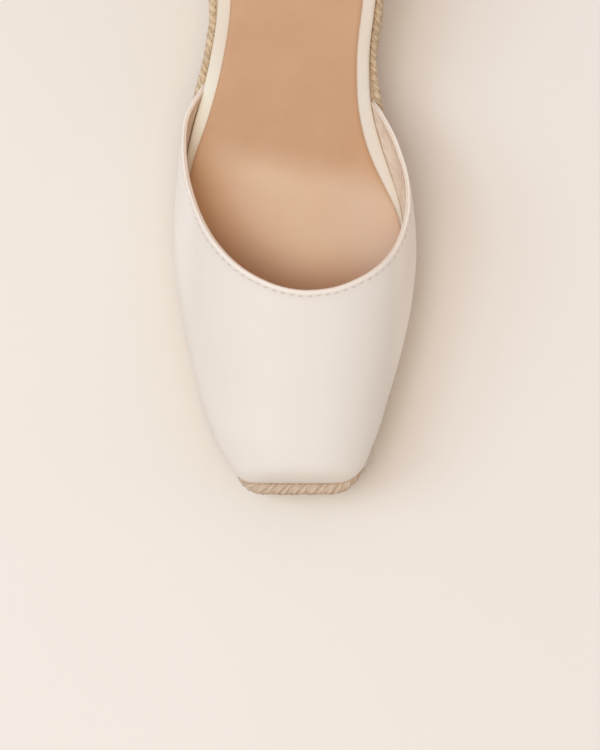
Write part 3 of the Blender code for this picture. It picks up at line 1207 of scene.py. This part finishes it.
# %% The jute's finish
def jute_finish(name, dark, pale):
    """Twisted yarn between a dark and a pale tone."""
    finish = Finish(name)
    place = finish.place()
    yarn = finish.node("TexCoord", output="UV")
    fibres = finish.noise(finish.stretched(yarn, 14, 26, 0), 1.0, detail=4)
    cloud = finish.noise(place, 5 * MM, detail=4)
    turns = finish.part(yarn, "X") * 6 + finish.part(yarn, "Y") * 2
    ridges = finish.node("Math", {"operation": "SINE"}, {0: turns * (2 * math.pi)})
    twist = ridges * 0.5 + 0.5
    specks = finish.noise(place, 0.5 * MM, detail=3)
    tone = finish.between(fibres * 0.4 + specks * 0.3 + cloud * 0.2 + twist * 0.1, 0.32, 0.66)
    colour = finish.mix(tone, dark, pale)
    toe = 1 - finish.between(finish.part(place, "Y"), -118 * MM, -104 * MM)
    colour = finish.mix(toe * 0.45, colour, srgb(197, 176, 162))
    relief = finish.bump(twist * 0.3 + fibres * 0.4 + specks * 0.3, 0.3 * MM)
    return finish.done(Base_Color=colour, Roughness=0.9, Normal=relief)


jute = jute_finish("jute", srgb(177, 147, 112), srgb(237, 216, 183))

# %% [markdown]
# ## The rows
#
# The top plait follows the upper rim of the wedge and climbs with it. The
# rows below lie level. Towards the toe the wedge gets lower, so each level row
# runs out behind the top plait. A plait can't be bent as sharply as the vamp's
# toe, so at its two corners every row is drawn in under the leather, and the
# top row stands out a little between them.

# %% The top row
ROW_HEIGHT = 8.3 * MM
INSET = PLAIT_DEPTH + YARN_RADIUS
FRONT_SWELL = 0.5 * MM
FRONT_DEPTH = 0.45
FRONT_START = -114 * MM
FRONT_FADE = 6 * MM
FRONT_INNER_END = 24 * MM
INNER_FADE = 8 * MM

# Across, along, reach and how far in or out, all in millimetres.
TOE_TUCKS = ((27, -114, 19, 1.65),
             (-24, -117, 14, 1.6),
             (31, -86, 16, -0.6))


def tucked(line):
    """How far a row is drawn in at the toe's corners, and let out beside the vamp."""
    total = np.zeros(len(line))
    for across, along, reach, amount in TOE_TUCKS:
        total += amount * MM * soft(1 - far_from(line, across, along) / (reach * MM))
    return total


_, out, up = frames(wall_top)
front = soft((FRONT_START - wall_top[:, 1]) / FRONT_FADE)
front = front * soft((FRONT_INNER_END - wall_top[:, 0]) / INNER_FADE)
inset = INSET - front * FRONT_SWELL + tucked(wall_top)
top_line = wall_top - up * ROW_HEIGHT / 2 - out * inset[:, None]
even = np.ones(len(top_line))
top_plait = lay_plait("plait_top", top_line, even, 1 + front * FRONT_DEPTH, True)
dress(top_plait, jute, "jute", "jute_wedge")

# %% The level rows
HEEL_ROWS = 7
LOW_WALL = 18 * MM
HIGH_WALL = 48 * MM
BEHIND = 3.0 * MM
RUN_OUT_ROOM = 0.2
LEAST_ROOM = -0.6
LEAST_ROOM_LOWEST = -1

share = np.clip((wall_height - LOW_WALL) / (HIGH_WALL - LOW_WALL), 0, 1)
row_height = ROW_HEIGHT + share * (wall_height.max() / HEEL_ROWS - ROW_HEIGHT)
for number in range(HEEL_ROWS - 1):
    lowest = number == 0
    lift = (number + 0.5) * row_height
    line = wall_bottom + (wall_top - wall_bottom) * (lift / wall_height)[:, None]
    _, out, _ = frames(line)
    room = (wall_height - lift) / row_height - 1
    behind = 0 if lowest else np.clip(RUN_OUT_ROOM - room, 0, 1) * BEHIND
    line = line - out * (INSET + behind + np.clip(tucked(line), 0, None))[:, None]
    shown = np.flatnonzero(room > (LEAST_ROOM_LOWEST if lowest else LEAST_ROOM))
    part = slice(shown.min(), shown.max() + 1)
    wider = row_height / ROW_HEIGHT
    row = lay_plait(f"plait_row_{number + 1}", line[part], wider[part], even[part], lowest)
    dress(row, jute, "jute", "jute_wedge")
bpy.data.objects.remove(unit)

# %% [markdown]
# ## Stray fibres
#
# Fine fibres stand off the plait all round. Each is one thin bent curve, put
# at a seeded random place of the wall and heading outwards and along it.

# %% Fibres that stand off the plait
FIBRES = 150
FIBRE_RADIUS = 0.04 * MM
FIBRE_POINTS = 6
FIBRE_DEPTH = 0.8 * MM
ABOVE_FLOOR = 4 * MM
BELOW_RIM = 1 * MM
chance = random.Random(11)


def stray_fibres():
    """Thin bent curves that start in the plait, made into one mesh."""
    curve = bpy.data.curves.new("stray_fibres", "CURVE")
    curve.dimensions = "3D"
    curve.bevel_depth = FIBRE_RADIUS
    curve.bevel_resolution = 0
    along, out, up = frames(wall_top)
    for _ in range(FIBRES):
        number = chance.randrange(len(wall_top))
        down = chance.random() ** 2 * (wall_height[number] - ABOVE_FLOOR)
        start = wall_top[number] - up[number] * (down + BELOW_RIM) - out[number] * FIBRE_DEPTH
        heading = (along[number] * chance.uniform(-1, 1) + out[number] * chance.uniform(0.1, 0.5)
                   + up[number] * chance.uniform(-0.3, 0.3))
        drop = -out[number] * chance.uniform(0.1, 0.4) + up[number] * chance.uniform(-0.3, 0.3)
        length = chance.uniform(2.5, 6) * MM
        line = curve.splines.new("POLY")
        line.points.add(FIBRE_POINTS - 1)
        for share, point in zip(np.linspace(0, 1, FIBRE_POINTS), line.points):
            point.co = (*(start + (heading + drop * share) * share * length), 1)
    fibres = new_object("stray_fibres", curve)
    activate(fibres)
    bpy.ops.object.convert(target="MESH")
    return fibres


fibres = stray_fibres()
dress(fibres, jute_finish("stray_jute", srgb(226, 206, 178), srgb(246, 234, 214)), "jute")

# %% [markdown]
# ## The core and the outsole
#
# Behind the plait the wedge is cork. Its copy is drawn in from the wall, so
# that the yarns lie half sunk in it and no daylight shows between them. The
# outsole is thin crepe rubber with a soft edge, drawn in at the toe's corners
# together with the plait above it.

# %% The wedge's core
CORE_INSET = 2.6 * MM
AT_WALL = 2 * MM

core_points = points_of(wedge.data)
nearest, away = nearest_on(level(wall_top), level(core_points))
_, out, _ = frames(wall_top)
at_wall = (away < AT_WALL)[:, None]
set_points(wedge.data, core_points - out[nearest] * at_wall * CORE_INSET)


def core_finish():
    """Pressed cork."""
    finish = Finish("cork_core")
    speck = finish.noise(finish.place(), 1.5 * MM)
    colour = finish.mix(speck, srgb(186, 158, 126), srgb(212, 186, 154))
    return finish.done(Base_Color=colour, Roughness=0.95)


dress(wedge, core_finish(), "jute", "jute_wedge")

# %% The outsole
SOLE_ROUNDING = 0.8 * MM
FACET_ANGLE = math.radians(35)

outsole = merged_copy("outsole", "outsole_rubber")
nudge(outsole, 26, -118, 20, -2.3, 1.7)
nudge(outsole, -23, -119, 14, 1.4, 1.0)
bevelled(outsole, SOLE_ROUNDING, SLAB_ANGLE, segments=3)


def rubber_finish():
    """Speckled natural rubber."""
    finish = Finish("crepe_rubber")
    place = finish.place()
    speck = finish.noise(place, 0.8 * MM, detail=4)
    colour = finish.mix(speck, srgb(176, 146, 108), srgb(196, 168, 130))
    return finish.done(Base_Color=colour, Roughness=0.75, Normal=finish.bump(speck, 0.1 * MM))


dress(outsole, rubber_finish(), "rubber_tread", "outsole")
activate(outsole)
bpy.ops.object.shade_smooth_by_angle(angle=FACET_ANGLE)

# %% [markdown]
# ## Sizes
#
# The box of everything, beside the box of the solids it came from.

# %% The boxes
boxes = {"cad": [list(corner) for corner in CAD_BOX],
         "visual": [list(corner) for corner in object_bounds()]}
for name, corners in boxes.items():
    print(name, [[round(value / MM, 1) for value in corner] for corner in corners])
